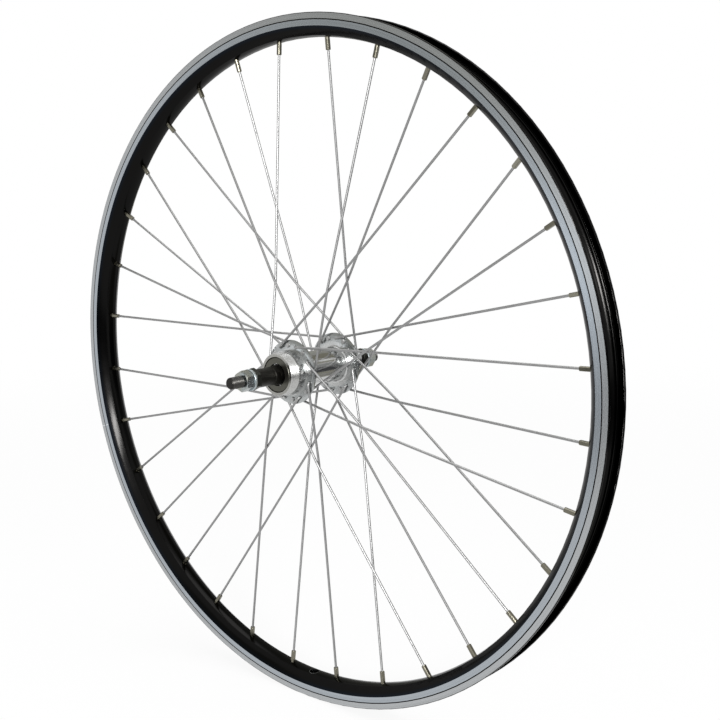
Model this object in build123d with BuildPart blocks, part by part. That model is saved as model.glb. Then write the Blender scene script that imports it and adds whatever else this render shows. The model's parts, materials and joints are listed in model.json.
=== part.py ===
from build123d import *
from math import cos, radians, sin, sqrt, tan
import os

# Rear bicycle wheel with a screw-on freewheel hub: rim, spokes, nipples, hub and axle.
# Sizes are in millimetres. The axle lies along Y, the drive side is at -Y, +Z is up,
# the origin is the middle of the rim and the valve hole is at the bottom.
# Angles around the axle are in degrees from +X towards +Z.

os.makedirs("parts", exist_ok=True)

# Rim section: heights along the radius, widths along the axle
bead_seat_diameter = 559.0
rim_width = 24.5
lip_height = 5.8
well_depth = 3.5
chamber_depth = 5.0
track_height = 10.3
lip_round = 0.6
flank_thickness = 1.7
hook_reach = 0.8
hook_height = 1.9
shelf_width = 2.8
well_side_run = 2.55
bridge_thickness = 1.4
bed_width = 11.0
bed_crown = 0.8
bed_thickness = 2.2
bevel_thickness = 1.6
bevel_bulge = 0.35
wear_groove_drop = 5.3
wear_groove_depth = 0.5
wear_groove_width = 0.9
valve_hole_diameter = 8.5
valve_angle = 270.0

# Spokes
spoke_count = 32
crosses = 3
spoke_diameter = 2.0
spoke_head_overhang = 1.0
spoke_head_height = 1.1
spoke_head_taper = 20.0
spoke_head_clearance = 0.05
spoke_tail = 2.2
elbow_gap = 1.2
elbow_radius = 2.0
crossing_bend_radius = 40.0
crossing_gap = 0.2

# Nipples
nipple_diameter = 4.0
nipple_length = 11.0
nipple_flat_cut = 0.35
nipple_collar = 1.5
nipple_tip_round = 0.5
nipple_head_reach = 1.1
nipple_head_flare = 0.9
nipple_head_rim = 1.0
nipple_seat_lift = 0.45
nipple_slot_width = 1.2
nipple_slot_depth = 0.8
nipple_thread_clearance = 0.03
nipple_hole_clearance = 0.35
access_clearance = 1.4

# Hub shell: flange offsets are distances from the middle of the rim along the axle
drive_flange_offset = 20.4
non_drive_flange_offset = 33.3
hole_circle_diameter = 44.8
hole_clearance = 0.35
flange_edge = 4.1
flange_thickness = 3.2
flange_taper = 0.8
flange_taper_width = 2.6
barrel_diameter = 28.6
barrel_root = 2.0
shell_bore_diameter = 20.0
freewheel_thread_diameter = 34.8
freewheel_thread_length = 9.0
freewheel_shoulder_step = 1.0
freewheel_shoulder_length = 7.3
boss_wall = 1.3
boss_draft = 1.2
mouth_chamfer = 0.6

# Bearings: race angles are measured at the ball from straight out towards the hub's middle
ball_diameter = 6.35
ball_count = 9
ball_gap = 0.2
race_clearance = 0.05
cup_wall = 1.2
cup_floor = 1.8
cup_lead = 2.0
cup_race_angle = 110.0
cap_step = 0.7
cap_face = 1.0
cap_wall = 0.9
cap_edge = 0.9
cap_recess = 0.3
cap_gap = 0.3
cap_ball_gap = 1.1
cap_hole_gap = 1.1
cone_race_angle = 240.0
cone_tail = 1.5
cone_shoulder = 0.6
cone_collar_step = 0.24
cone_collar_length = 2.8
cone_body_step = 0.7
drive_cone_reach = 6.0
non_drive_cone_reach = 10.5
cone_flats = 13.0
cone_flats_length = 3.6

# Axle, and what is screwed or slid on it
over_locknut_width = 135.0
axle_diameter = 9.52
thread_core_diameter = 8.7
drive_axle_reach = 12.1
non_drive_axle_reach = 7.3
axle_chamfer = 1.0
locknut_thickness = 5.2
locknut_flats = 16.0
lock_washer_thickness = 1.3
lock_washer_diameter = 15.0
spacer_diameter = 15.0
slip_clearance = 0.2
ring_chamfer = 0.3
axle_washer_thickness = 2.2
axle_washer_diameter = 17.4
axle_nut_thickness = 8.1
axle_nut_flats = 15.0
nut_sides = 6
nut_face_inset = 0.25
nut_chamfer_angle = 30.0

# Turns of the nuts round the axle: at 0 a corner points to +X
locknut_turn = 30.0
drive_nut_turn = 30.0
non_drive_nut_turn = 0.0

# Places around the wheel
nipple_pitch = 360.0 / spoke_count
hole_pitch = 2 * nipple_pitch
first_angles = {"drive": nipple_pitch / 2, "non_drive": nipple_pitch * 3 / 2}
nipple_angles = [first_angles["drive"] + nipple_pitch * k for k in range(spoke_count)]
hole_circle_radius = hole_circle_diameter / 2

# Bearing sizes: depths are measured inwards from the mouth of the shell
ball_radius = ball_diameter / 2
pitch_radius = (ball_radius + ball_gap / 2) / sin(radians(180.0 / ball_count))
race_radius = ball_radius + race_clearance
cup_radius = pitch_radius + race_radius + cup_wall
cap_radius = cup_radius + cap_step
ball_depth = cap_recess + cap_face + cap_ball_gap + ball_radius
cup_start_depth = ball_depth - cup_lead
cup_end_depth = ball_depth + race_radius + cup_floor
cap_end_depth = cup_start_depth - cap_gap

# Axle sizes: places are distances from the middle of the rim along the axle
axle_radius = axle_diameter / 2
core_radius = thread_core_diameter / 2
slip_radius = axle_radius + slip_clearance
locknut_face = over_locknut_width / 2
locknut_seat = locknut_face - locknut_thickness
washer_face = locknut_face + axle_washer_thickness
nut_face = washer_face + axle_nut_thickness
axle_ends = {"drive": nut_face + drive_axle_reach, "non_drive": nut_face + non_drive_axle_reach}

# The two sides of the hub
half_flange = flange_thickness / 2
signs = {"drive": -1, "non_drive": 1}
flanges = {"drive": drive_flange_offset, "non_drive": non_drive_flange_offset}
cone_reaches = {"drive": drive_cone_reach, "non_drive": non_drive_cone_reach}
nut_turns = {"drive": drive_nut_turn, "non_drive": non_drive_nut_turn}
mouths = {
    "drive": drive_flange_offset + half_flange + freewheel_shoulder_length + freewheel_thread_length,
    "non_drive": locknut_seat - lock_washer_thickness - non_drive_cone_reach,
}
cone_ends = {side: mouth + cone_reaches[side] for side, mouth in mouths.items()}


def across(y):
    # Plane across the axle at y, with X to the right and Z up, facing the drive side
    return Plane.XZ.offset(-y)


def around(radius, angle, y=0.0):
    # Point at this radius and angle around the axle
    return Vector(radius * cos(radians(angle)), y, radius * sin(radians(angle)))


def radial_plane(radius, angle):
    # Plane whose normal points straight out from the axle
    return Plane(origin=around(radius, angle), x_dir=(0, 1, 0), z_dir=around(1.0, angle))


def race_point(sign, ball_y, angle):
    # Point of the section where a race meets the ball at this angle
    turn = radians(angle)
    return (pitch_radius + race_radius * cos(turn), ball_y - sign * race_radius * sin(turn))


def turned(label, corners):
    # Piece turned about the axle from the (radius, y) corners of its section
    with BuildPart() as piece:
        with BuildSketch(Plane.XY):
            with BuildLine():
                Polyline(*corners, close=True)
            make_face()
        revolve(axis=Axis.Y)
    piece.part.label = label
    export_step(piece.part, f"parts/{label}.step")


def ring(label, sign, start, length, diameter):
    # Washer or tube that slides on the axle, with its outer edges broken
    near = sign * start
    far = sign * (start + length)
    edge = diameter / 2 - ring_chamfer
    corners = [
        (slip_radius, near),
        (edge, near),
        (diameter / 2, near + sign * ring_chamfer),
        (diameter / 2, far - sign * ring_chamfer),
        (edge, far),
        (slip_radius, far),
    ]
    turned(label, corners)


def hex_nut(label, sign, start, thickness, flats, turn):
    # Hexagon nut screwed on the axle, with its corners chamfered on both faces
    half_corner = 180.0 / nut_sides
    face_radius = flats / 2 - nut_face_inset
    corner_radius = flats / 2 / cos(radians(half_corner))
    fall = sign * (corner_radius - face_radius) * tan(radians(nut_chamfer_angle))
    near = sign * start
    far = sign * (start + thickness)
    with BuildPart() as nut:
        with BuildSketch(across(max(near, far))):
            RegularPolygon(flats / 2, nut_sides, major_radius=False, rotation=turn)
            Circle(core_radius, mode=Mode.SUBTRACT)
        extrude(amount=thickness)
        with BuildSketch(Plane.XY):
            with BuildLine():
                Polyline(
                    (0, near),
                    (face_radius, near),
                    (corner_radius, near + fall),
                    (corner_radius, far - fall),
                    (face_radius, far),
                    (0, far),
                    close=True,
                )
            make_face()
        revolve(axis=Axis.Y, mode=Mode.INTERSECT)
    nut.part.label = label
    export_step(nut.part, f"parts/{label}.step")


# Rim: hooked double-wall section turned round the axle, then drilled
bead_radius = bead_seat_diameter / 2
rim_radius = bead_radius + lip_height
well_radius = bead_radius - well_depth
well_inside = well_radius - bridge_thickness
bed_inside = well_inside - chamber_depth
bed_radius = bed_inside - bed_thickness
bed_corner = bed_radius + bed_crown
track_foot = rim_radius - track_height
shelf_inside = bead_radius - bridge_thickness
hook_foot = rim_radius - hook_height
groove_radius = rim_radius - wear_groove_drop
groove_half = wear_groove_width / 2
half_width = rim_width / 2
half_bed = bed_width / 2
groove_floor = half_width - wear_groove_depth
inner_flank = half_width - flank_thickness
hook_nose = inner_flank - hook_reach
shelf_edge = inner_flank - shelf_width
half_well = shelf_edge - well_side_run
bevel_middle = (
    (bed_corner + track_foot) / 2 - bevel_bulge,
    (half_bed + half_width) / 2 + bevel_bulge,
)

# Walls of the hollow chamber run parallel to the bevel and to the sides of the well
bevel_slope = (half_width - half_bed) / (track_foot - bed_corner)
bevel_inset = bevel_thickness * sqrt(1 + bevel_slope**2)
well_slope = well_side_run / well_depth
well_inset = bridge_thickness * sqrt(1 + well_slope**2)
chamber = [
    (bed_inside, half_bed + (bed_inside - bed_corner) * bevel_slope - bevel_inset),
    (bed_corner + (inner_flank - half_bed + bevel_inset) / bevel_slope, inner_flank),
    (shelf_inside, inner_flank),
    (shelf_inside, half_well + (shelf_inside - well_radius) * well_slope + well_inset),
    (well_inside, half_well + (well_inside - well_radius) * well_slope + well_inset),
]
chamber_mirrored = [(radius, -y) for radius, y in reversed(chamber)]

nipple_radius = nipple_diameter / 2
nipple_head_radius = nipple_radius + nipple_head_reach

with BuildPart() as rim:
    with BuildSketch(Plane.XY):
        with BuildLine():
            TangentArc((bed_radius, 0), (bed_corner, half_bed), tangent=(0, 1))
            ThreePointArc((bed_corner, half_bed), bevel_middle, (track_foot, half_width))
            Polyline(
                (track_foot, half_width),
                (groove_radius - groove_half, half_width),
                (groove_radius - groove_half, groove_floor),
                (groove_radius + groove_half, groove_floor),
                (groove_radius + groove_half, half_width),
                (rim_radius - lip_round, half_width),
            )
            TangentArc(
                (rim_radius - lip_round, half_width),
                (rim_radius, half_width - lip_round),
                tangent=(1, 0),
            )
            Line((rim_radius, half_width - lip_round), (rim_radius, hook_nose + lip_round))
            TangentArc(
                (rim_radius, hook_nose + lip_round),
                (rim_radius - lip_round, hook_nose),
                tangent=(0, -1),
            )
            Polyline(
                (rim_radius - lip_round, hook_nose),
                (hook_foot, hook_nose),
                (hook_foot - hook_reach, inner_flank),
                (bead_radius, inner_flank),
                (bead_radius, shelf_edge),
                (well_radius, half_well),
                (well_radius, 0),
            )
            mirror(about=Plane.XZ)
        make_face()
        with BuildLine():
            Polyline(*chamber, *chamber_mirrored, close=True)
        make_face(mode=Mode.SUBTRACT)
    revolve(axis=Axis.Y)
    with BuildSketch(*[radial_plane(bed_radius - bed_crown, angle) for angle in nipple_angles]):
        Circle(nipple_radius + nipple_hole_clearance)
    extrude(amount=bed_crown + bed_thickness + chamber_depth / 2, mode=Mode.SUBTRACT)
    with BuildSketch(*[radial_plane(bed_inside + chamber_depth / 2, angle) for angle in nipple_angles]):
        Circle(nipple_head_radius + access_clearance)
    extrude(amount=chamber_depth / 2 + bridge_thickness + well_depth, mode=Mode.SUBTRACT)
    with BuildSketch(radial_plane(bed_radius - bed_crown, valve_angle)):
        Circle(valve_hole_diameter / 2)
    extrude(amount=rim_radius - bed_radius, mode=Mode.SUBTRACT)
rim.part.label = "rim"
export_step(rim.part, "parts/rim.step")

# Spokes: each runs from its flange hole, past its outermost crossing, to its nipple.
# At that crossing the spoke from the outer face of the flange passes inside the other one.
spoke_radius = spoke_diameter / 2
lace_angle = crosses * hole_pitch
aim_radius = bed_radius + bed_thickness / 2
cross_tangent = tan(radians(hole_pitch / 2))
cross_share = cross_tangent * aim_radius / (
    hole_circle_radius * sin(radians(lace_angle))
    + cross_tangent * (aim_radius - hole_circle_radius * cos(radians(lace_angle)))
)
elbow_reach = half_flange + elbow_gap + spoke_radius
head_reach = half_flange + spoke_head_clearance
nipple_places = []
for k, nipple_angle in enumerate(nipple_angles):
    side = "drive" if k % 2 == 0 else "non_drive"
    lean = 1 if k % 4 < 2 else -1
    flange_y = signs[side] * flanges[side]
    hole_angle = nipple_angle + lean * lace_angle
    aim = around(aim_radius, nipple_angle)
    hole = around(hole_circle_radius, hole_angle, flange_y)
    outward = Vector(0, -lean, 0)
    crossing = aim + (hole - aim) * cross_share - outward * (spoke_radius + crossing_gap / 2)
    run = (aim - crossing).normalized()
    nipple_places.append(Plane(origin=aim, x_dir=(0, 1, 0), z_dir=run).location)
    with BuildPart() as spoke:
        with BuildLine() as path:
            FilletPolyline(
                hole - outward * (head_reach + spoke_head_height),
                hole + outward * elbow_reach,
                crossing,
                aim + run * spoke_tail,
                radius=[elbow_radius, crossing_bend_radius],
            )
        with BuildSketch(path.line ^ 0):
            Circle(spoke_radius)
        sweep()
        with BuildSketch(Plane(origin=hole - outward * head_reach, z_dir=-outward)):
            Circle(spoke_radius + spoke_head_overhang)
        extrude(amount=spoke_head_height, taper=spoke_head_taper)
    spoke.part.label = f"spoke_{k + 1:02d}"
    export_step(spoke.part, f"parts/{spoke.part.label}.step")

# Nipple: drawn upright with its origin halfway through the bed, then set on every spoke
nipple_bore = spoke_radius + nipple_thread_clearance
nipple_seat = bed_thickness / 2 + nipple_seat_lift
nipple_top = nipple_seat + nipple_head_flare + nipple_head_rim
nipple_square = nipple_diameter - 2 * nipple_flat_cut

with BuildPart() as nipple:
    with BuildSketch(Plane.XZ):
        with BuildLine():
            Line((nipple_bore, -nipple_length), (nipple_radius - nipple_tip_round, -nipple_length))
            TangentArc(
                (nipple_radius - nipple_tip_round, -nipple_length),
                (nipple_radius, nipple_tip_round - nipple_length),
                tangent=(1, 0),
            )
            Polyline(
                (nipple_radius, nipple_tip_round - nipple_length),
                (nipple_radius, nipple_seat),
                (nipple_head_radius, nipple_seat + nipple_head_flare),
                (nipple_head_radius, nipple_top),
                (nipple_bore, nipple_top),
                (nipple_bore, -nipple_length),
            )
        make_face()
    revolve(axis=Axis.Z)
    with BuildSketch(Plane.XY.offset(-nipple_length)):
        Rectangle(2 * nipple_diameter, 2 * nipple_diameter)
        Rectangle(nipple_square, nipple_square, mode=Mode.SUBTRACT)
    extrude(amount=nipple_length - bed_thickness / 2 - nipple_collar, mode=Mode.SUBTRACT)
    with BuildSketch(Plane.XY.offset(nipple_top)):
        Rectangle(2 * nipple_head_radius, nipple_slot_width)
    extrude(amount=-nipple_slot_depth, mode=Mode.SUBTRACT)

with BuildPart() as nipples:
    with Locations(*nipple_places):
        add(nipple.part)
nipples.part.label = "nipples"
export_step(nipples.part, "parts/nipples.step")

# Hub shell: freewheel thread, flanges, barrel and bearing seats in one piece, then drilled
flange_radius = hole_circle_radius + flange_edge
taper_radius = flange_radius - flange_taper_width
barrel_radius = barrel_diameter / 2
root_radius = barrel_radius + barrel_root
bore_radius = shell_bore_diameter / 2
thread_radius = freewheel_thread_diameter / 2
shoulder_radius = thread_radius + freewheel_shoulder_step
boss_radius = cap_radius + boss_wall
drive_mouth = -mouths["drive"]
non_drive_mouth = mouths["non_drive"]
thread_end = drive_mouth + freewheel_thread_length
drive_inner_face = half_flange - drive_flange_offset
non_drive_inner_face = non_drive_flange_offset - half_flange


def flange_section(y):
    # Tapered edge of a flange centred at y, from its -Y face to its +Y face
    return [
        (taper_radius, y - half_flange),
        (flange_radius, y - half_flange + flange_taper),
        (flange_radius, y + half_flange - flange_taper),
        (taper_radius, y + half_flange),
    ]


with BuildPart() as hub_shell:
    with BuildSketch(Plane.XY):
        with BuildLine():
            Polyline(
                (cap_radius, drive_mouth),
                (thread_radius - mouth_chamfer, drive_mouth),
                (thread_radius, drive_mouth + mouth_chamfer),
                (thread_radius, thread_end),
                (shoulder_radius, thread_end),
                (shoulder_radius, -drive_flange_offset - half_flange),
                *flange_section(-drive_flange_offset),
                (root_radius, drive_inner_face),
            )
            TangentArc(
                (root_radius, drive_inner_face),
                (barrel_radius, drive_inner_face + barrel_root),
                tangent=(-1, 0),
            )
            Line(
                (barrel_radius, drive_inner_face + barrel_root),
                (barrel_radius, non_drive_inner_face - barrel_root),
            )
            TangentArc(
                (barrel_radius, non_drive_inner_face - barrel_root),
                (root_radius, non_drive_inner_face),
                tangent=(0, 1),
            )
            Polyline(
                (root_radius, non_drive_inner_face),
                *flange_section(non_drive_flange_offset),
                (boss_radius + boss_draft, non_drive_flange_offset + half_flange),
                (boss_radius, non_drive_mouth - mouth_chamfer),
                (boss_radius - mouth_chamfer, non_drive_mouth),
                (cap_radius, non_drive_mouth),
                (cap_radius, non_drive_mouth - cap_end_depth),
                (cup_radius, non_drive_mouth - cap_end_depth),
                (cup_radius, non_drive_mouth - cup_end_depth),
                (bore_radius, non_drive_mouth - cup_end_depth),
                (bore_radius, drive_mouth + cup_end_depth),
                (cup_radius, drive_mouth + cup_end_depth),
                (cup_radius, drive_mouth + cap_end_depth),
                (cap_radius, drive_mouth + cap_end_depth),
                (cap_radius, drive_mouth),
            )
        make_face()
    revolve(axis=Axis.Y)
    for side, sign in signs.items():
        with BuildSketch(across(sign * flanges[side] + half_flange)):
            with PolarLocations(hole_circle_radius, spoke_count // 2, start_angle=first_angles[side]):
                Circle(spoke_radius + hole_clearance)
        extrude(amount=flange_thickness, mode=Mode.SUBTRACT)
hub_shell.part.label = "hub_shell"
export_step(hub_shell.part, "parts/hub_shell.step")

# Bearings: pressed-in cup and dust cap, loose balls, and the cone screwed on the axle
race_in = 180.0
collar_radius = pitch_radius + race_radius * cos(radians(cone_race_angle)) + cone_collar_step
body_radius = collar_radius - cone_body_step
cap_hole_radius = collar_radius + cap_hole_gap

for side, sign in signs.items():
    mouth_y = sign * mouths[side]
    ball_y = mouth_y - sign * ball_depth
    cup_start = mouth_y - sign * cup_start_depth
    cup_end = mouth_y - sign * cup_end_depth
    cap_outside = mouth_y - sign * cap_recess
    cap_inside = cap_outside - sign * cap_face
    cap_end = mouth_y - sign * cap_end_depth

    with BuildPart() as cup:
        with BuildSketch(Plane.XY):
            with BuildLine():
                cup_race = ThreePointArc(
                    race_point(sign, ball_y, 0.0),
                    race_point(sign, ball_y, cup_race_angle / 2),
                    race_point(sign, ball_y, cup_race_angle),
                )
                Polyline(
                    cup_race @ 1,
                    ((cup_race @ 1).X, cup_end),
                    (cup_radius, cup_end),
                    (cup_radius, cup_start),
                    ((cup_race @ 0).X, cup_start),
                    cup_race @ 0,
                )
            make_face()
        revolve(axis=Axis.Y)
    cup.part.label = f"{side}_cup"
    export_step(cup.part, f"parts/{side}_cup.step")

    cap_corners = [
        (cap_hole_radius, cap_outside),
        (cap_radius - cap_edge, cap_outside),
        (cap_radius, cap_outside - sign * cap_edge),
        (cap_radius, cap_end),
        (cap_radius - cap_wall, cap_end),
        (cap_radius - cap_wall, cap_inside),
        (cap_hole_radius, cap_inside),
    ]
    turned(f"{side}_dust_cap", cap_corners)

    with BuildPart() as balls:
        with Locations(across(ball_y)):
            with PolarLocations(pitch_radius, ball_count):
                Sphere(ball_radius)
    balls.part.label = f"{side}_balls"
    export_step(balls.part, f"parts/{side}_balls.step")

    cone_end = sign * cone_ends[side]
    with BuildPart() as cone:
        with BuildSketch(Plane.XY):
            with BuildLine():
                cone_race = ThreePointArc(
                    race_point(sign, ball_y, race_in),
                    race_point(sign, ball_y, (race_in + cone_race_angle) / 2),
                    race_point(sign, ball_y, cone_race_angle),
                )
                collar_start = (cone_race @ 1).Y + sign * cone_shoulder
                collar_end = collar_start + sign * cone_collar_length
                Polyline(
                    cone_race @ 1,
                    (collar_radius, collar_start),
                    (collar_radius, collar_end),
                    (body_radius, collar_end),
                    (body_radius, cone_end),
                    (core_radius, cone_end),
                    (core_radius, ball_y - sign * cone_tail),
                    ((cone_race @ 0).X, ball_y - sign * cone_tail),
                    cone_race @ 0,
                )
            make_face()
        revolve(axis=Axis.Y)
        with BuildSketch(across(max(cone_end, cone_end - sign * cone_flats_length))):
            Rectangle(2 * collar_radius, 2 * collar_radius)
            Rectangle(cone_flats, 2 * collar_radius, mode=Mode.SUBTRACT)
        extrude(amount=cone_flats_length, mode=Mode.SUBTRACT)
    cone.part.label = f"{side}_cone"
    export_step(cone.part, f"parts/{side}_cone.step")

# Washers and nuts, from the cones outwards
for side, sign in signs.items():
    ring(f"{side}_lock_washer", sign, cone_ends[side], lock_washer_thickness, lock_washer_diameter)
    hex_nut(f"{side}_locknut", sign, locknut_seat, locknut_thickness, locknut_flats, locknut_turn)
    ring(f"{side}_axle_washer", sign, locknut_face, axle_washer_thickness, axle_washer_diameter)
    hex_nut(f"{side}_axle_nut", sign, washer_face, axle_nut_thickness, axle_nut_flats, nut_turns[side])

spacer_start = cone_ends["drive"] + lock_washer_thickness
ring("drive_spacer", signs["drive"], spacer_start, locknut_seat - spacer_start, spacer_diameter)


def axle_half(side):
    # Corners from the cone outwards: thread core under the screwed pieces, full size elsewhere
    cone_end = cone_ends[side]
    axle_end = axle_ends[side]
    steps = [
        (core_radius, cone_end),
        (axle_radius, cone_end),
        (axle_radius, locknut_seat),
        (core_radius, locknut_seat),
        (core_radius, locknut_face),
        (axle_radius, locknut_face),
        (axle_radius, washer_face),
        (core_radius, washer_face),
        (core_radius, nut_face),
        (axle_radius, nut_face),
        (axle_radius, axle_end - axle_chamfer),
        (axle_radius - axle_chamfer, axle_end),
        (0, axle_end),
    ]
    return [(radius, signs[side] * place) for radius, place in steps]


# Axle: one solid rod, plain at its thread core between the cones
drive_half = axle_half("drive")
non_drive_half = axle_half("non_drive")
turned("axle", [*reversed(drive_half), *non_drive_half])
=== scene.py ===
import bpy
import json
import math
from mathutils import Matrix, Vector


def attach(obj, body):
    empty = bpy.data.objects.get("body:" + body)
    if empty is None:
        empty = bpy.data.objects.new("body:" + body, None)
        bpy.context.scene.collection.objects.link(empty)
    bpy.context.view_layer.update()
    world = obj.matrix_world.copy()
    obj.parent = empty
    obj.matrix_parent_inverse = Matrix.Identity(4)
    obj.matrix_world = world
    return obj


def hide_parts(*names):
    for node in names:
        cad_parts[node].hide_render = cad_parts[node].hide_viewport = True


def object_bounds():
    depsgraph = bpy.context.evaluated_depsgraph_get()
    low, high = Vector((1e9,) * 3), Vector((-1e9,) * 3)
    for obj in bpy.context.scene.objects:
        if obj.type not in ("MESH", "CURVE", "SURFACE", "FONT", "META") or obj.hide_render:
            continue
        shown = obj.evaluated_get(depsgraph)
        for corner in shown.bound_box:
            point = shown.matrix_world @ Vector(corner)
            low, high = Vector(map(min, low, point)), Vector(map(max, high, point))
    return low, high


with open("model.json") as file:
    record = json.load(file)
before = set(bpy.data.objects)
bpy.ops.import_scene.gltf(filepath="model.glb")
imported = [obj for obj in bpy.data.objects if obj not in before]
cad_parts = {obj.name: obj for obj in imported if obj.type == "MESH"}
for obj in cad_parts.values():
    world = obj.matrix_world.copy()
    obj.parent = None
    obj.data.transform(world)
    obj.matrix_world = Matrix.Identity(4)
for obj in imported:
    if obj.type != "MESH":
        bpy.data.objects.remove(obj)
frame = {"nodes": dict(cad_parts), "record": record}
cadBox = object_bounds()
nodes = frame["nodes"]
mm = 0.001
white = (1.0, 1.0, 1.0, 1.0)
print("frame loaded,", len(nodes), "nodes")


# Node maths: a socket that adds its own Math nodes, and a tree that makes any node
class Value:
    def __init__(self, owner, socket):
        self.owner = owner
        self.socket = socket

    def math(self, operation, *others):
        sockets = dict(enumerate((self, *others)))
        return self.owner.node("ShaderNodeMath", {"operation": operation}, sockets)

    def __add__(self, other):
        return self.math("ADD", other)

    def __radd__(self, other):
        return self.math("ADD", other)

    def __sub__(self, other):
        return self.math("SUBTRACT", other)

    def __rsub__(self, other):
        return self.math("MULTIPLY", -1.0) + other

    def __mul__(self, other):
        return self.math("MULTIPLY", other)

    def __rmul__(self, other):
        return self.math("MULTIPLY", other)

    def __truediv__(self, other):
        return self.math("DIVIDE", other)

    def __pow__(self, other):
        return self.math("POWER", other)

    def __abs__(self):
        return self.math("ABSOLUTE")


class Nodes:
    def __init__(self, tree):
        self.tree = tree

    def node(self, kind, settings=None, sockets=None, output=0):
        made = self.tree.nodes.new(kind)
        for key, value in (settings or {}).items():
            setattr(made, key, value)
        for key, value in (sockets or {}).items():
            self.feed(made.inputs[key], value)
        return Value(self, made.outputs[output])

    def feed(self, socket, value):  # links a Value, and writes anything else on the socket
        if isinstance(value, Value):
            self.tree.links.new(value.socket, socket)
        else:
            socket.default_value = value

    def joined(self, x, y, z):
        return self.node("ShaderNodeCombineXYZ", None, {0: x, 1: y, 2: z})

    def parts(self, vector):  # the three numbers of a vector
        first = self.node("ShaderNodeSeparateXYZ", None, {0: vector})
        return [Value(self, output) for output in first.socket.node.outputs]


class Finish(Nodes):
    def __init__(self, name, constants=None):
        self.material = bpy.data.materials.new(name)
        self.material.use_nodes = True
        super().__init__(self.material.node_tree)
        self.tree.nodes.clear()
        self.shader = self.tree.nodes.new("ShaderNodeBsdfPrincipled")
        self.output = self.tree.nodes.new("ShaderNodeOutputMaterial")
        self.tree.links.new(self.shader.outputs[0], self.output.inputs[0])
        for key, value in (constants or {}).items():
            self.shader.inputs[key].default_value = value

    def set(self, key, value):
        self.feed(self.shader.inputs[key], value)

    def objectPoint(self):
        return self.node("ShaderNodeTexCoord", output="Object")

    def step(self, value, low, high):  # 0 below low, 1 above high, smooth between
        limits = {"Value": value, "From Min": low, "From Max": high}
        return self.node("ShaderNodeMapRange", {"interpolation_type": "SMOOTHSTEP"}, limits)

    def fade(self, value, low, high):  # 1 below low, 0 above high, smooth between
        return 1.0 - self.step(value, low, high)

    def mix(self, mask, first, second):  # two colours by a mask
        sockets = {0: mask, 6: first, 7: second}
        return self.node("ShaderNodeMix", {"data_type": "RGBA"}, sockets, 2)

    def noise(self, vector, scale, detail):
        sockets = {"Vector": vector, "Scale": scale, "Detail": detail}
        return self.node("ShaderNodeTexNoise", None, sockets)

    def bump(self, height, strength, distance, base=None):  # base is the bump underneath, if any
        sockets = {"Height": height, "Strength": strength, "Distance": distance}
        if base:
            sockets["Normal"] = base
        bumped = self.node("ShaderNodeBump", None, sockets)
        self.set("Normal", bumped)
        return bumped


class Place:  # where a finish is on the part: Object coordinates, and the distance from the axle
    def __init__(self, finish):
        self.vector = finish.objectPoint()
        self.x, self.y, self.z = finish.parts(self.vector)
        self.radius = (self.x * self.x + self.z * self.z) ** 0.5


def shade(colour, share=1.0):  # a colour with its alpha, made darker by a share under 1
    return tuple(part * share for part in colour) + (1.0,)


# Camera at the photograph's place, with its own small roll
photoView = {
    "place": (0.6426, -0.6768, 0.15595),
    "azimuth": 40.89,  # degrees
    "elevation": 9.09,
    "roll": 0.65,
    "lens": 56.58,
    "sensor": 36.0,
}


def addCamera(view):
    azimuth = math.radians(view["azimuth"])
    elevation = math.radians(view["elevation"])
    roll = math.radians(view["roll"])
    back = Vector((
        math.sin(azimuth) * math.cos(elevation),
        -math.cos(azimuth) * math.cos(elevation),
        math.sin(elevation),
    ))
    level = Vector((math.cos(azimuth), math.sin(azimuth), 0.0))
    upright = back.cross(level)
    right = level * math.cos(roll) - upright * math.sin(roll)
    up = level * math.sin(roll) + upright * math.cos(roll)
    data = bpy.data.cameras.new("photoCamera")
    data.lens = view["lens"]
    data.sensor_width = view["sensor"]
    camera = bpy.data.objects.new("photoCamera", data)
    turn = Matrix((right, up, back)).transposed().to_4x4()
    camera.matrix_world = Matrix.Translation(view["place"]) @ turn
    bpy.context.scene.collection.objects.link(camera)
    bpy.context.scene.camera = camera


addCamera(photoView)
bpy.context.scene.view_settings.view_transform = "Standard"
print("camera placed")


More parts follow.
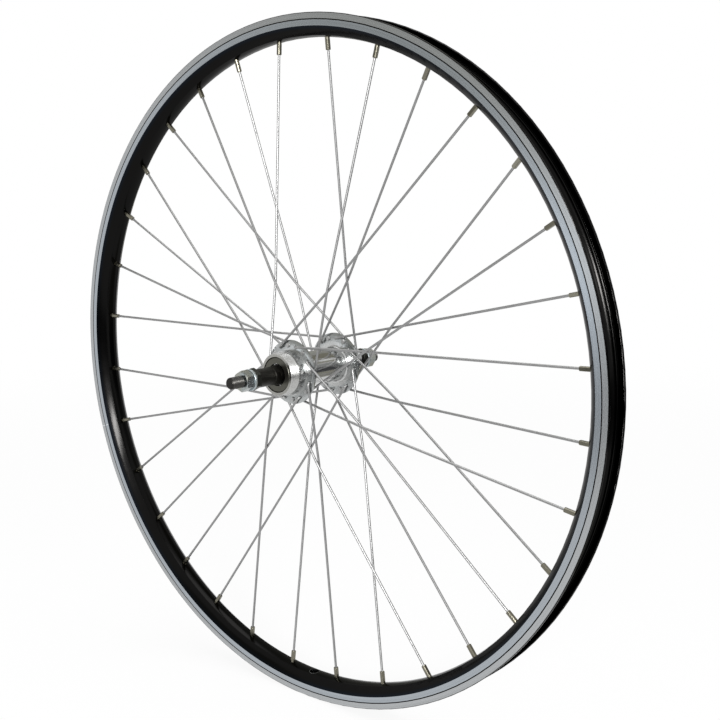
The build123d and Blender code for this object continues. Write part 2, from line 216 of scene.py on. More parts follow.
# Studio: pale floor, white backdrop, soft lamps, and cards that only show in reflections.
# Directions are azimuth from +X towards +Y and elevation, both in degrees.
studio = {
    "floorSize": 14.0,
    "floorColour": (0.86, 0.86, 0.86, 1.0),
    "floorRough": 0.9,
    "floorGlow": 0.90,  # share of plain white in the floor near the wheel
    "shadowReach": 0.7,  # from here on the floor turns to plain white
    "shadowEnd": 2.0,
    "ambient": 0.50,
    "lamps": {
        "sideSoftbox": {"azimuth": -16.0, "elevation": 22.0, "distance": 2.0,
                        "size": (1.3, 0.4), "power": 6.0},
        "frontSoftbox": {"azimuth": -57.0, "elevation": 13.0, "distance": 2.3,
                         "size": (0.65, 0.32), "power": 44.0},
        "topSoftbox": {"azimuth": 150.0, "elevation": 82.0, "distance": 2.4,
                       "size": (2.2, 2.2), "power": 32.0},
    },
    "cardPieces": 8,
    "cards": {
        "highCard": {"azimuth": (52.0, 108.0), "elevation": (35.0, 56.0), "distance": 2.4,
                     "colour": (0.27, 0.26, 0.21)},
        "leftCard": {"azimuth": (108.0, 148.0), "elevation": (-6.0, 50.0), "distance": 2.4,
                     "colour": (0.40, 0.40, 0.365)},
        "middleCard": {"azimuth": (36.0, 62.0), "elevation": (21.6, 29.0), "distance": 2.0,
                       "colour": (0.34, 0.33, 0.28)},
        "lowCard": {"azimuth": (32.0, 60.0), "elevation": (5.0, 20.0), "distance": 2.0,
                    "colour": (0.36, 0.365, 0.36)},
        "darkCard": {"azimuth": (26.0, 66.0), "elevation": (-17.0, 5.0), "distance": 0.9,
                     "colour": (0.08, 0.08, 0.085)},
        "frontCard": {"azimuth": (-138.0, -96.0), "elevation": (3.5, 45.0), "distance": 2.5,
                      "colour": (0.46, 0.46, 0.43)},
        "brightCard": {"azimuth": (-129.0, -109.0), "elevation": (-8.0, 1.0), "distance": 1.8,
                       "colour": (2.2, 2.3, 2.4)},
        "dimCard": {"azimuth": (-132.0, -102.0), "elevation": (-19.0, -10.5), "distance": 0.8,
                    "colour": (0.36, 0.36, 0.345)},
        "nearCard": {"azimuth": (-105.0, 12.0), "elevation": (-17.0, -2.0), "distance": 0.95,
                     "colour": (0.16, 0.16, 0.165)},
        "floorCard": {"azimuth": (30.0, 80.0), "elevation": (-38.0, -17.0), "distance": 0.45,
                      "colour": (0.36, 0.35, 0.30)},
    },
}


def towards(azimuth, elevation):
    turn = math.radians(azimuth)
    rise = math.radians(elevation)
    level = math.cos(rise)
    return Vector((math.cos(turn) * level, math.sin(turn) * level, math.sin(rise)))


def seenRays(made):  # 1 for the camera, reflections and glass, 0 for the light that falls on things
    camera = made.node("ShaderNodeLightPath", output="Is Camera Ray")
    glossy = made.node("ShaderNodeLightPath", output="Is Glossy Ray")
    through = made.node("ShaderNodeLightPath", output="Is Transmission Ray")
    return camera.math("MAXIMUM", glossy).math("MAXIMUM", through)


def addFloor(settings):
    half = settings["floorSize"] / 2
    level = cadBox[0][2]
    corners = [(-half, -half, level), (half, -half, level), (half, half, level), (-half, half, level)]
    mesh = bpy.data.meshes.new("studioFloor")
    mesh.from_pydata(corners, [], [(0, 1, 2, 3)])
    floor = bpy.data.objects.new("studioFloor", mesh)
    bpy.context.scene.collection.objects.link(floor)
    constants = {"Base Color": settings["floorColour"], "Roughness": settings["floorRough"]}
    finish = Finish("floorWhite", constants)
    glow = finish.node("ShaderNodeEmission", None, {"Color": white})
    x, y = finish.parts(finish.objectPoint())[:2]
    fromWheel = (x * x + y * y) ** 0.5
    away = finish.step(fromWheel, settings["shadowReach"], settings["shadowEnd"])
    share = seenRays(finish) * (away * (1.0 - settings["floorGlow"]) + settings["floorGlow"])
    shader = Value(finish, finish.shader.outputs[0])
    both = finish.node("ShaderNodeMixShader", None, {0: share, 1: shader, 2: glow})
    finish.feed(finish.output.inputs[0], both)
    mesh.materials.append(finish.material)


def addWorld(settings):
    world = bpy.data.worlds.new("studioWorld")
    world.use_nodes = True
    bpy.context.scene.world = world
    made = Nodes(world.node_tree)
    made.tree.nodes.clear()
    level = seenRays(made) * (1.0 - settings["ambient"]) + settings["ambient"]
    sky = made.node("ShaderNodeBackground", None, {"Color": white, "Strength": level})
    output = made.tree.nodes.new("ShaderNodeOutputWorld")
    made.feed(output.inputs[0], sky)


def addLamps(settings):
    for name, lamp in settings["lamps"].items():
        data = bpy.data.lights.new(name, "AREA")
        data.shape = "RECTANGLE"
        data.size, data.size_y = lamp["size"]
        data.energy = lamp["power"]
        light = bpy.data.objects.new(name, data)
        place = towards(lamp["azimuth"], lamp["elevation"]) * lamp["distance"]
        light.location = place
        light.rotation_euler = place.to_track_quat("Z", "Y").to_euler()
        bpy.context.scene.collection.objects.link(light)


def addCards(settings):
    pieces = settings["cardPieces"]
    for name, card in settings["cards"].items():
        start, end = card["azimuth"]
        low, high = card["elevation"]
        corners = []
        for k in range(pieces + 1):
            azimuth = start + (end - start) * k / pieces
            corners.append(towards(azimuth, low) * card["distance"])
            corners.append(towards(azimuth, high) * card["distance"])
        faces = [(2 * k, 2 * k + 2, 2 * k + 3, 2 * k + 1) for k in range(pieces)]
        mesh = bpy.data.meshes.new(name)
        mesh.from_pydata(corners, [], faces)
        sheet = bpy.data.objects.new(name, mesh)
        bpy.context.scene.collection.objects.link(sheet)
        finish = Finish(name + "Grey")
        glow = finish.node("ShaderNodeEmission", None, {"Color": shade(card["colour"])})
        finish.feed(finish.output.inputs[0], glow)
        mesh.materials.append(finish.material)
        sheet.visible_camera = False
        sheet.visible_diffuse = False
        sheet.visible_shadow = False


addFloor(studio)
addWorld(studio)
addLamps(studio)
addCards(studio)
print("studio lit")


# Rim: glossy black with bare machined brake tracks
rimLook = {
    "halfWidth": 12.25 * mm,
    "edge": 0.06 * mm,  # how soft the border of bare metal is
    "trackFoot": 275.0 * mm,  # out from the axle
    "trackTop": 284.7 * mm,
    "groove": 280.0 * mm,
    "grooveBlend": 0.5 * mm,
    "black": (0.0086, 0.0084, 0.0082),
    "coolBlack": (0.0080, 0.0105, 0.0150),  # beside the track
    "coolReach": 3.4 * mm,
    "edgeTint": 0.66,
    "blackRough": 0.17,
    "roughSpread": 0.12,
    "smudge": 55.0,
    "smudgeDetail": 4.0,
    "silver": (0.46, 0.475, 0.485),
    "coolSilver": (0.42, 0.455, 0.49),  # on the band inside the groove
    "silverRough": 0.27,
    "streakShare": 0.78,
    "streakRange": (0.35, 0.65),
    "streakOut": 9000.0,  # marks in a metre out from the axle
    "streakAcross": 6.0,  # marks in a metre across the wheel
    "streakDetail": 3.0,
    "streakBump": 0.15,
    "streakDepth": 0.02 * mm,
    "paintedGlint": (0.85, 0.87, 0.90),  # painted highlight: a thin bright line across the drive side's track
    "paintedGlintAngle": 197.1,
    "paintedGlintHalf": 0.45 * mm,
    "paintedGlintSide": -0.2,
    "valveHole": 4.25 * mm,  # hole at the bottom, with a bare silver edge that also paints in a glint
    "valveBareGlint": 0.35 * mm,
    "valveBed": -274.0 * mm,
    "wellFloor": 276.0 * mm,  # well of the tyre channel, with hollow sides
    "wellEdge": 279.5 * mm,
    "wellHalf": 9.0 * mm,
    "wellBlend": 0.5 * mm,
    "wellHollow": 0.38 * mm,
    "cornerIn": (9.2 * mm, 10.9 * mm),  # rounded corner above the bead shelf
    "cornerOut": (10.9 * mm, 11.75 * mm),
    "cornerFoot": (277.0 * mm, 278.0 * mm),
    "cornerTop": (279.5 * mm, 280.6 * mm),
    "cornerRise": 2.0 * mm,
}


def rimFinish(look):
    tint = look["edgeTint"]
    finish = Finish("rimBlackAndTrack", {"Metallic": 1.0, "Specular Tint": (tint, tint, tint, 1.0)})
    at = Place(finish)
    aside = abs(at.y)  # from the middle of the rim
    edge = look["edge"]
    onFace = finish.step(aside, look["halfWidth"] - 2 * edge, look["halfWidth"] - edge)
    above = finish.step(at.radius, look["trackFoot"] - edge, look["trackFoot"] + edge)
    below = finish.fade(at.radius, look["trackTop"] - edge, look["trackTop"] + edge)
    track = onFace * above * below

    # Silver: two bands, streaked by machining
    across = look["streakAcross"]
    rings = finish.joined(at.radius * look["streakOut"], at.x * across, at.z * across)
    streaks = finish.noise(rings, 1.0, look["streakDetail"])
    blend = look["grooveBlend"]
    inner = finish.fade(at.radius, look["groove"] - blend, look["groove"] + blend)
    share = look["streakShare"]
    bare = finish.mix(inner, shade(look["silver"]), shade(look["coolSilver"]))
    worn = finish.mix(inner, shade(look["silver"], share), shade(look["coolSilver"], share))
    silver = finish.mix(finish.step(streaks, *look["streakRange"]), worn, bare)
    # Painted highlight: a thin bright line across the drive side's track, on the left of the rim
    paintedGlintTurn = math.radians(look["paintedGlintAngle"])
    fromPaintedGlint = abs(at.x * math.sin(paintedGlintTurn) - at.z * math.cos(paintedGlintTurn))
    paintedGlint = finish.fade(fromPaintedGlint, 0.0, look["paintedGlintHalf"]) * finish.fade(at.x, look["paintedGlintSide"], 0.0)
    paintedGlint = paintedGlint * finish.fade(at.y, -look["halfWidth"], 0.0)
    silver = finish.mix(paintedGlint, silver, shade(look["paintedGlint"]))

    # Black: bluer beside the track, bare metal on the edge of the valve hole, which also paints in a glint
    # there
    reach = look["trackFoot"] - look["coolReach"]
    nearTrack = finish.step(at.radius, reach, look["trackFoot"]) * (1.0 - above)
    black = finish.mix(nearTrack, shade(look["black"]), shade(look["coolBlack"]))
    smudges = finish.noise(at.vector, look["smudge"], look["smudgeDetail"])
    blackRough = smudges * look["roughSpread"] + (look["blackRough"] - look["roughSpread"] / 2)
    # Ring of bare silver round the valve hole: bare metal, and a painted glint
    hole = look["valveHole"]
    fromHole = (at.x * at.x + at.y * at.y) ** 0.5
    bareGlintEdge = finish.step(fromHole, hole - edge, hole)
    bareGlintEdge = bareGlintEdge * finish.fade(fromHole, hole, hole + look["valveBareGlint"])
    bareGlintEdge = bareGlintEdge * (1.0 - above) * finish.fade(at.z, look["valveBed"], 0.0)
    black = finish.mix(bareGlintEdge, black, shade(look["silver"]))
    finish.set("Base Color", finish.mix(track, black, silver))
    finish.set("Roughness", blackRough + track * (look["silverRough"] - blackRough))

    # Bumps: hollow sides of the well, rounded corners above it, streaks on the track
    climb = (at.radius - look["wellFloor"]) / (look["wellEdge"] - look["wellFloor"])
    hollow = (climb * (1.0 - climb) * -4.0).math("MINIMUM", 0.0)  # one deep half way up the side
    inWell = finish.fade(aside, look["wellHalf"], look["wellHalf"] + look["wellBlend"])
    hollowed = finish.bump(hollow * inWell, 1.0, look["wellHollow"])
    corner = finish.step(aside, *look["cornerIn"]) * finish.fade(aside, *look["cornerOut"])
    corner = corner * finish.step(at.radius, *look["cornerFoot"])
    corner = corner * finish.fade(at.radius, *look["cornerTop"])
    rounded = finish.bump(corner, 1.0, look["cornerRise"], hollowed)
    finish.bump(streaks * track, look["streakBump"], look["streakDepth"], rounded)
    return finish.material


# Metals: colour, roughness, and a fine grain with a direction.
# Grain is how many marks fall in a radian round the axle, in a metre along it, and in a metre out from it.
metals = {
    "nippleNickel": {"colour": (0.20, 0.19, 0.15), "dull": 0.75,
                     "rough": 0.24, "spread": 0.08, "grain": (90.0, 600.0, 600.0)},
    "bearingSteel": {"colour": (0.55, 0.55, 0.55), "dull": 0.85,
                     "rough": 0.12, "spread": 0.04, "grain": (6.0, 900.0, 900.0)},
    "capSteel": {"colour": (0.110, 0.108, 0.092), "dull": 0.80,
                 "rough": 0.36, "spread": 0.12, "grain": (6.0, 900.0, 1600.0)},
    "spacerOxide": {"colour": (0.030, 0.029, 0.026), "dull": 0.60,
                    "rough": 0.40, "spread": 0.14, "grain": (45.0, 900.0, 900.0)},
    "locknutOxide": {"colour": (0.048, 0.050, 0.044), "dull": 0.65,
                     "rough": 0.38, "spread": 0.14, "grain": (75.0, 500.0, 500.0)},
}
metalWear = {
    "stain": 140.0,
    "stainDetail": 3.0,
    "grainShare": 0.5,
    "grainBump": 0.05,
}
grainDetail = 3.0
grainDepth = 0.01 * mm
axisGap = 1.0 * mm  # keeps the grain from dividing by nothing on the axle's own line


def turnedGrain(finish, at, grain):  # noise drawn out along the direction with few marks
    around, along, outward = grain
    reach = at.radius + axisGap
    lengthwise = at.y * along + at.radius * outward
    lines = finish.joined(at.x / reach * around, lengthwise, at.z / reach * around)
    return finish.noise(lines, 1.0, grainDetail)


def metalFinish(name, look, wear):
    finish = Finish(name, {"Metallic": 1.0})
    at = Place(finish)
    grain = turnedGrain(finish, at, look["grain"])
    stains = finish.noise(at.vector, wear["stain"], wear["stainDetail"])
    worn = finish.mix(stains, shade(look["colour"], look["dull"]), shade(look["colour"]))
    finish.set("Base Color", finish.mix(grain * wear["grainShare"], worn, shade(look["colour"])))
    finish.set("Roughness", grain * look["spread"] + (look["rough"] - look["spread"] / 2))
    finish.bump(grain, wear["grainBump"], grainDepth)
    return finish.material


# Spokes: drawn steel with faint lines along the wire, brighter at the forged heads in the flanges
spokeLook = {
    "colour": (0.35, 0.35, 0.35),
    "dull": 0.80,
    "head": (0.40, 0.40, 0.395),
    "headReach": (24.2 * mm, 25.7 * mm),  # out from the axle
    "rough": 0.40,
    "spread": 0.06,
    "linesAround": 90.0,  # marks in a radian round the axle
    "linesAlong": 700.0,  # marks in a metre along the axle
    "lineDetail": 2.0,
}


def spokeFinish(look):
    finish = Finish("spokeSteel", {"Metallic": 1.0})
    at = Place(finish)
    around = look["linesAround"]
    drawn = finish.joined(at.x / at.radius * around, at.y * look["linesAlong"], at.z / at.radius * around)
    lines = finish.noise(drawn, 1.0, look["lineDetail"])
    wire = finish.mix(lines, shade(look["colour"], look["dull"]), shade(look["colour"]))
    atHead = finish.fade(at.radius, *look["headReach"])
    finish.set("Base Color", finish.mix(atHead, wire, shade(look["head"])))
    finish.set("Roughness", lines * look["spread"] + (look["rough"] - look["spread"] / 2))
    return finish.material


# Zinc: a clear plating that turns from bluish to straw in soft clouds, paler on the washers
zincLooks = {
    "nutZinc": {"blue": (0.35, 0.385, 0.395), "straw": (0.33, 0.335, 0.30), "rough": 0.27},
    "washerZinc": {"blue": (0.40, 0.45, 0.47), "straw": (0.38, 0.41, 0.41), "rough": 0.42},
}
zincPlating = {
    "cloud": 90.0,
    "cloudDetail": 3.0,
    "strawRange": (0.4, 0.62),
    "spread": 0.10,
    "ripple": 700.0,
    "rippleDetail": 2.0,
    "rippleBump": 0.02,
    "rippleDepth": 0.01 * mm,
}


def zincFinish(name, look, plating):
    finish = Finish(name, {"Metallic": 1.0})
    vector = finish.objectPoint()
    clouds = finish.noise(vector, plating["cloud"], plating["cloudDetail"])
    straw = finish.step(clouds, *plating["strawRange"])
    finish.set("Base Color", finish.mix(straw, shade(look["blue"]), shade(look["straw"])))
    finish.set("Roughness", clouds * plating["spread"] + (look["rough"] - plating["spread"] / 2))
    ripples = finish.noise(vector, plating["ripple"], plating["rippleDetail"])
    finish.bump(ripples, plating["rippleBump"], plating["rippleDepth"])
    return finish.material


# Hub shell: turned and polished aluminium, cloudy on the flanges, greasy in the freewheel thread
hubLook = {
    "polish": (0.50, 0.505, 0.50),
    "flange": (0.44, 0.455, 0.455),
    "faced": (0.34, 0.335, 0.315),
    "grease": (0.40, 0.395, 0.375),
    "cloud": 260.0,
    "cloudDetail": 4.0,
    "cloudRange": (0.3, 0.7),
    "cloudShare": 0.80,
    "rough": 0.11,
    "turnedRough": 0.09,
    "cloudRough": 0.06,
    "grainRough": 0.04,
    "grain": (4.5, 1400.0, 1400.0),
    "grainBump": 0.03,
    "turnedRange": (16.4 * mm, 16.7 * mm),  # out from the axle
    "threadRange": (16.9 * mm, 17.35 * mm),
    "flangeRange": (18.6 * mm, 20.0 * mm),
    "mouth": (-38.28 * mm, -38.2 * mm),  # along the axle
    "threadStart": (-38.1 * mm, -37.9 * mm),
    "threadEnd": (-29.4 * mm, -29.3 * mm),
}


def hubFinish(look):
    finish = Finish("hubPolish", {"Metallic": 1.0})
    at = Place(finish)
    grain = turnedGrain(finish, at, look["grain"])
    clouds = finish.noise(at.vector, look["cloud"], look["cloudDetail"])
    cloudy = finish.step(clouds, *look["cloudRange"])
    face = finish.mix(cloudy, shade(look["flange"]), shade(look["flange"], look["cloudShare"]))
    onFlange = finish.step(at.radius, *look["flangeRange"])
    tone = finish.mix(onFlange, shade(look["polish"]), face)
    mouth = finish.fade(at.y, *look["mouth"])
    tone = finish.mix(mouth, tone, shade(look["faced"]))
    greasy = finish.step(at.y, *look["threadStart"]) * finish.fade(at.y, *look["threadEnd"])
    greasy = greasy * finish.fade(at.radius, *look["threadRange"])
    finish.set("Base Color", finish.mix(greasy, tone, shade(look["grease"])))
    turned = finish.step(at.radius, *look["turnedRange"]).math("MAXIMUM", mouth)
    dullness = turned * (cloudy * look["cloudRough"] + look["turnedRough"])
    finish.set("Roughness", dullness + grain * look["grainRough"] + look["rough"])
    finish.bump(grain, look["grainBump"], grainDepth)
    return finish.material


# Axle: dark steel, lighter on the crests of its thread, as rubbed wear and as a painted highlight
axleLook = {
    "dark": (0.030, 0.029, 0.027),
    "crest": (0.14, 0.138, 0.13),
    "crestRange": (4.42 * mm, 4.76 * mm),
    "crestLeast": 0.4,  # share of the lighter crests, rubbed wear and painted highlight, that is even, the rest follows the grain
    "rough": 0.36,
    "spread": 0.12,
    "grain": (9.0, 900.0, 900.0),
    "grainBump": 0.05,
}


def axleFinish(look):
    finish = Finish("axleSteel", {"Metallic": 1.0})
    at = Place(finish)
    grain = turnedGrain(finish, at, look["grain"])
    least = look["crestLeast"]
    # Lighter crests: rubbed wear and a painted highlight on the thread
    rubbedAndHighlit = finish.step(at.radius, *look["crestRange"]) * (grain * (1.0 - least) + least)
    finish.set("Base Color", finish.mix(rubbedAndHighlit, shade(look["dark"]), shade(look["crest"])))
    finish.set("Roughness", grain * look["spread"] + (look["rough"] - look["spread"] / 2))
    finish.bump(grain, look["grainBump"], grainDepth)
    return finish.material


finishOf = {name: metalFinish(name, look, metalWear) for name, look in metals.items()}
finishOf.update({name: zincFinish(name, look, zincPlating) for name, look in zincLooks.items()})
finishOf["rimBlackAndTrack"] = rimFinish(rimLook)
finishOf["spokeSteel"] = spokeFinish(spokeLook)
finishOf["hubPolish"] = hubFinish(hubLook)
finishOf["axleSteel"] = axleFinish(axleLook)
slotFinish = {
    "rim_black": "rimBlackAndTrack",
    "spoke_steel": "spokeSteel",
    "nipple_brass": "nippleNickel",
    "hub_polished": "hubPolish",
    "axle_steel": "axleSteel",
    "bearing_steel": "bearingSteel",
    "cap_steel": "capSteel",
    "black_steel": "spacerOxide",
    "zinc_steel": "nutZinc",
}
endingFinish = {"locknut": "locknutOxide", "axle_washer": "washerZinc"}  # by the end of a node's name
for part in frame["record"]["subparts"]:
    chosen = slotFinish[part["material_slot"]]
    for ending, name in endingFinish.items():
        if part["node"].endswith(ending):
            chosen = name
    for place in nodes[part["node"]].material_slots:
        place.material = finishOf[chosen]
print("finishes on", len(nodes), "nodes")


# Turned pieces: a geometry tree that turns a profile round the axle and cuts a thread in it,
# and one that drills a ring of holes
turning = {
    "sharpAngle": 28.0,  # degrees between faces, past which an edge stays sharp
    "mergeGap": 0.002 * mm,
    "drillSides": 24,
    "marksPerPitch": 12,
    "farCrest": 1000.0,  # no thread reaches a row with this crest
}


class Shape(Nodes):
    def __init__(self, name, sizes):
        super().__init__(bpy.data.node_groups.new(name, "GeometryNodeTree"))
        sockets = self.tree.interface
        sockets.new_socket("Geometry", in_out="OUTPUT", socket_type="NodeSocketGeometry")
        sockets.new_socket("Start", in_out="INPUT", socket_type="NodeSocketGeometry")
        self.identifiers = {}
        for label, kind in sizes.items():
            made = sockets.new_socket(label, in_out="INPUT", socket_type=kind)
            self.identifiers[label] = made.identifier
        self.entry = self.tree.nodes.new("NodeGroupInput")
        self.exit = self.tree.nodes.new("NodeGroupOutput")

    def given(self, label):
        return Value(self, self.entry.outputs[label])

    def close(self, mesh):  # sharp edges by angle, then the finish
        angle = self.node("GeometryNodeInputMeshEdgeAngle")
        compare = {"data_type": "FLOAT", "operation": "GREATER_THAN"}
        limit = math.radians(turning["sharpAngle"])
        sharp = self.node("FunctionNodeCompare", compare, {0: angle, 1: limit})
        soft = {"Geometry": mesh, "Shade Smooth": True}
        faces = self.node("GeometryNodeSetShadeSmooth", {"domain": "FACE"}, soft)
        crease = {"Geometry": faces, "Selection": sharp, "Shade Smooth": False}
        edges = self.node("GeometryNodeSetShadeSmooth", {"domain": "EDGE"}, crease)
        real = self.node("GeometryNodeRealizeInstances", None, {"Geometry": edges})
        dressed = {"Geometry": real, "Material": self.given("Finish")}
        self.feed(self.exit.inputs[0], self.node("GeometryNodeSetMaterial", None, dressed))


def latheTree():
    shape = Shape("turnedProfile", {
        "Rows": "NodeSocketInt",
        "Columns": "NodeSocketInt",
        "Thread Pitch": "NodeSocketFloat",
        "Thread Depth": "NodeSocketFloat",
        "Finish": "NodeSocketMaterial",
    })
    rows = shape.given("Rows")
    columns = shape.given("Columns") + 1.0
    counts = {"Size X": 1.0, "Size Y": 1.0, "Vertices X": columns, "Vertices Y": rows}
    grid = shape.node("GeometryNodeMeshGrid", None, counts)
    place = shape.node("GeometryNodeInputPosition")
    across, along = shape.parts(place)[:2]
    row = ((along + 0.5) * (rows - 1.0)).math("ROUND")
    profile = shape.given("Start")
    sampled = {"Geometry": profile, "Value": place, "Index": row}
    section = shape.node("GeometryNodeSampleIndex", {"data_type": "FLOAT_VECTOR"}, sampled)
    outline, height = shape.parts(section)[:2]
    named = shape.node("GeometryNodeInputNamedAttribute", {"data_type": "FLOAT"}, {"Name": "crest"})
    sampled = {"Geometry": profile, "Value": named, "Index": row}
    crest = shape.node("GeometryNodeSampleIndex", {"data_type": "FLOAT"}, sampled)
    turn = (across + 0.5) * math.tau
    wave = 0.5 - (height / shape.given("Thread Pitch") * math.tau + turn).math("COSINE") * 0.5
    radius = outline.math("MINIMUM", crest - wave * shape.given("Thread Depth"))
    point = shape.joined(radius * turn.math("COSINE"), height, radius * turn.math("SINE"))
    turned = shape.node("GeometryNodeSetPosition", None, {"Geometry": grid, "Position": point})
    seam = {"Geometry": turned, "Distance": turning["mergeGap"]}
    merged = shape.node("GeometryNodeMergeByDistance", None, seam)
    shape.close(shape.node("GeometryNodeFlipFaces", None, {"Mesh": merged}))  # the grid turns inside out
    return shape


def drillTree():
    shape = Shape("drilledFlange", {
        "Holes": "NodeSocketInt",
        "First Angle": "NodeSocketFloat",
        "Circle": "NodeSocketFloat",
        "Height": "NodeSocketFloat",
        "Hole Radius": "NodeSocketFloat",
        "Hole Depth": "NodeSocketFloat",
        "Finish": "NodeSocketMaterial",
    })
    index = shape.node("GeometryNodeInputIndex")
    holes = shape.given("Holes")
    turn = shape.given("First Angle") + index / holes * math.tau
    circle = shape.given("Circle")
    point = shape.joined(circle * turn.math("COSINE"), shape.given("Height"), circle * turn.math("SINE"))
    points = shape.node("GeometryNodePoints", None, {"Count": holes, "Position": point})
    sizes = {
        "Vertices": turning["drillSides"],
        "Radius": shape.given("Hole Radius"),
        "Depth": shape.given("Hole Depth"),
    }
    upright = shape.node("GeometryNodeMeshCylinder", None, sizes)
    along = {"Geometry": upright, "Rotation": (math.radians(90.0), 0.0, 0.0)}
    laid = shape.node("GeometryNodeTransform", None, along)
    drills = shape.node("GeometryNodeInstanceOnPoints", None, {"Points": points, "Instance": laid})
    real = shape.node("GeometryNodeRealizeInstances", None, {"Geometry": drills})
    exact = {"operation": "DIFFERENCE", "solver": "EXACT"}
    cut = shape.node("GeometryNodeMeshBoolean", exact, {"Mesh 1": shape.given("Start"), "Mesh 2": real})
    shape.close(cut)
    return shape


def shapedPiece(name, profile, steps, finish):  # runs the trees over the profile and keeps a plain mesh
    mesh = bpy.data.meshes.new(name + "Profile")
    mesh.from_pydata([(radius, height, 0.0) for radius, height, crest in profile], [], [])
    crests = mesh.attributes.new("crest", "FLOAT", "POINT")
    crests.data.foreach_set("value", [crest for radius, height, crest in profile])
    piece = bpy.data.objects.new(name, mesh)
    bpy.context.scene.collection.objects.link(piece)
    for shape, sizes in steps:
        modifier = piece.modifiers.new(shape.tree.name, "NODES")
        modifier.node_group = shape.tree
        for label, size in {**sizes, "Finish": finish}.items():
            modifier[shape.identifiers[label]] = size
    evaluated = piece.evaluated_get(bpy.context.evaluated_depsgraph_get())
    result = bpy.data.meshes.new_from_object(evaluated)
    piece.modifiers.clear()
    piece.data = result
    result.name = name
    print(name, len(result.vertices), "points", len(result.polygons), "faces")
    return piece


# Profiles are rows of radius, height along the axle and crest of a thread, in millimetres
def plainRows(rows):
    return [(radius, height, turning["farCrest"]) for radius, height in rows]


def threadedRows(crest, start, end, edge, pitch):  # fine rows from a broken edge at start to a plain end
    rows = []
    lead = edge if end > start else -edge
    count = max(2, round(abs(end - start) / pitch * turning["marksPerPitch"]))
    for k in range(count + 1):
        height = start + (end - start) * k / count
        rise = min(1.0, (height - start) / lead)
        rows.append((crest - edge * (1.0 - rise), height, crest))
    return rows


def inMetres(rows):
    return [(radius * mm, height * mm, crest * mm) for radius, height, crest in rows]


def latheSizes(size, profile):
    return {
        "Rows": len(profile),
        "Columns": size["columns"],
        "Thread Pitch": size["pitch"] * mm,
        "Thread Depth": size["depth"] * mm,
    }


lathe = latheTree()
drill = drillTree()

# Hub shell, sizes in millimetres
hubShape = {
    "driveMouth": -38.3,  # places along the axle
    "threadEnd": -29.3,
    "driveFlange": -20.4,
    "farFlange": 33.3,
    "farMouth": 50.5,
    "thread": 17.4,  # distances out from the axle
    "shoulder": 18.4,
    "barrel": 14.3,
    "flange": 26.5,
    "taperStart": 23.9,
    "boss": 16.0,
    "cap": 14.7,
    "cup": 14.0,
    "bore": 10.0,
    "halfFlange": 1.6,  # thicknesses, depths and edges
    "taper": 0.8,
    "root": 2.0,
    "rootSteps": 10,
    "bossDraft": 1.2,
    "mouthEdge": 0.6,
    "capDepth": 3.275,
    "cupDepth": 10.6,
    "pitch": 1.058,  # freewheel thread
    "depth": 0.55,
    "holes": 16,  # spoke holes in each flange
    "holeCircle": 22.4,
    "holeRadius": 1.35,
    "drillReach": 3.0,  # in half flanges
    "driveFirst": 5.625,  # degrees round to the first hole
    "farFirst": 16.875,
    "columns": 192,
}


def flangeRows(size, middle):
    half = size["halfFlange"]
    return [
        (size["taperStart"], middle - half),
        (size["flange"], middle - half + size["taper"]),
        (size["flange"], middle + half - size["taper"]),
        (size["taperStart"], middle + half),
    ]


def rootRows(size, face, side):  # rounded corner between the barrel and a flange, from barrel to flange
    rows = []
    for k in range(size["rootSteps"] + 1):
        turn = math.radians(90.0) * k / size["rootSteps"]
        rise = size["root"] * (1.0 - math.cos(turn))
        short = size["root"] * (1.0 - math.sin(turn))
        rows.append((size["barrel"] + rise, face - side * short))
    return rows


def hubProfile(size):
    half = size["halfFlange"]
    drive = size["driveMouth"]
    far = size["farMouth"]
    thread = threadedRows(size["thread"], drive, size["threadEnd"], size["mouthEdge"], size["pitch"])
    plain = [(size["shoulder"], size["threadEnd"]), (size["shoulder"], size["driveFlange"] - half)]
    plain += flangeRows(size, size["driveFlange"])
    plain += reversed(rootRows(size, size["driveFlange"] + half, -1))
    plain += rootRows(size, size["farFlange"] - half, 1)
    plain += flangeRows(size, size["farFlange"])
    plain += [
        (size["boss"] + size["bossDraft"], size["farFlange"] + half),
        (size["boss"], far - size["mouthEdge"]),
        (size["boss"] - size["mouthEdge"], far),
        (size["cap"], far),
        (size["cap"], far - size["capDepth"]),
        (size["cup"], far - size["capDepth"]),
        (size["cup"], far - size["cupDepth"]),
        (size["bore"], far - size["cupDepth"]),
        (size["bore"], drive + size["cupDepth"]),
        (size["cup"], drive + size["cupDepth"]),
        (size["cup"], drive + size["capDepth"]),
        (size["cap"], drive + size["capDepth"]),
        (size["cap"], drive),
    ]
    return inMetres(plainRows([(size["cap"], drive)]) + thread + plainRows(plain))


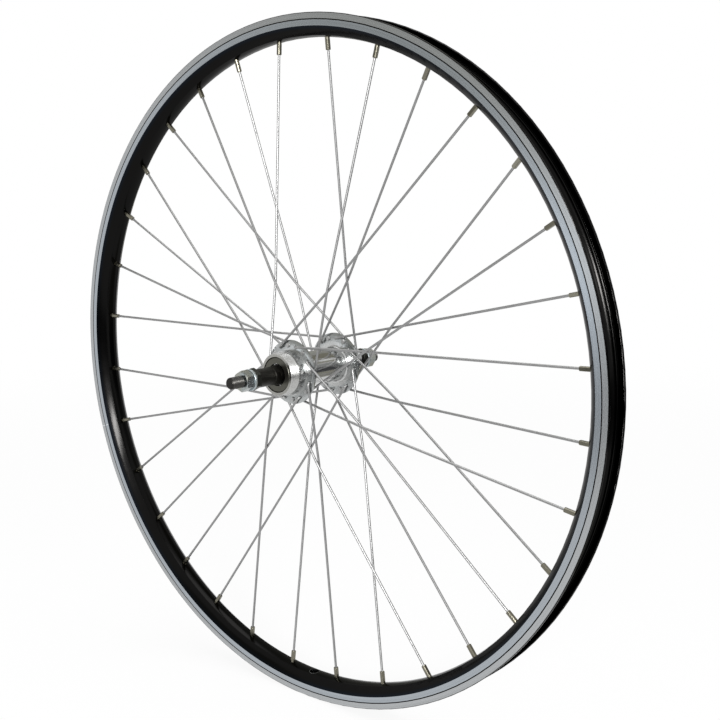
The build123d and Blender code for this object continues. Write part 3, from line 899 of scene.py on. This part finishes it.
def addHubShell(size):
    profile = hubProfile(size)
    steps = [(lathe, latheSizes(size, profile))]
    for side in ("drive", "far"):
        steps.append((drill, {
            "Holes": size["holes"],
            "First Angle": math.radians(size[side + "First"]),
            "Circle": size["holeCircle"] * mm,
            "Height": size[side + "Flange"] * mm,
            "Hole Radius": size["holeRadius"] * mm,
            "Hole Depth": size["drillReach"] * size["halfFlange"] * mm,
        }))
    shell = shapedPiece("hubShell", profile, steps, finishOf["hubPolish"])
    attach(shell, "wheel")
    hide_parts("hub_shell")


addHubShell(hubShape)

# Axle, a solid rod with a fine thread on both bare ends, sizes in millimetres
axleShape = {
    "driveTip": -89.9,  # places along the axle
    "farTip": 85.1,
    "nutFace": 77.8,  # places as far out on both sides
    "washerFace": 69.7,
    "locknutFace": 67.5,
    "locknutSeat": 62.3,
    "driveCone": 44.3,  # outer face of each cone
    "farCone": 61.0,
    "crest": 4.76,  # distances out from the axle's line
    "core": 4.35,
    "tipEdge": 1.0,
    "pitch": 0.977,  # thread
    "depth": 0.5,
    "columns": 72,
}


def axleProfile(size):
    crest = size["crest"]
    core = size["core"]
    edge = size["tipEdge"]
    driveThread = threadedRows(crest, size["driveTip"], -size["nutFace"], edge, size["pitch"])
    farThread = threadedRows(crest, size["farTip"], size["nutFace"], edge, size["pitch"])
    steps = [
        (core, size["nutFace"]),
        (core, size["washerFace"]),
        (crest, size["washerFace"]),
        (crest, size["locknutFace"]),
        (core, size["locknutFace"]),
        (core, size["locknutSeat"]),
        (crest, size["locknutSeat"]),
    ]
    middle = [(radius, -place) for radius, place in steps]
    middle += [(crest, -size["driveCone"]), (core, -size["driveCone"])]
    middle += [(core, size["farCone"]), (crest, size["farCone"])]
    middle += reversed(steps)
    rows = plainRows([(0.0, size["driveTip"])]) + driveThread + plainRows(middle)
    rows += [*reversed(farThread), *plainRows([(0.0, size["farTip"])])]
    return inMetres(rows)


def addAxle(size):
    profile = axleProfile(size)
    steps = [(lathe, latheSizes(size, profile))]
    rod = shapedPiece("axleRod", profile, steps, finishOf["axleSteel"])
    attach(rod, "axle_set")
    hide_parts("axle")


addAxle(axleShape)
print("hub shell and axle turned")
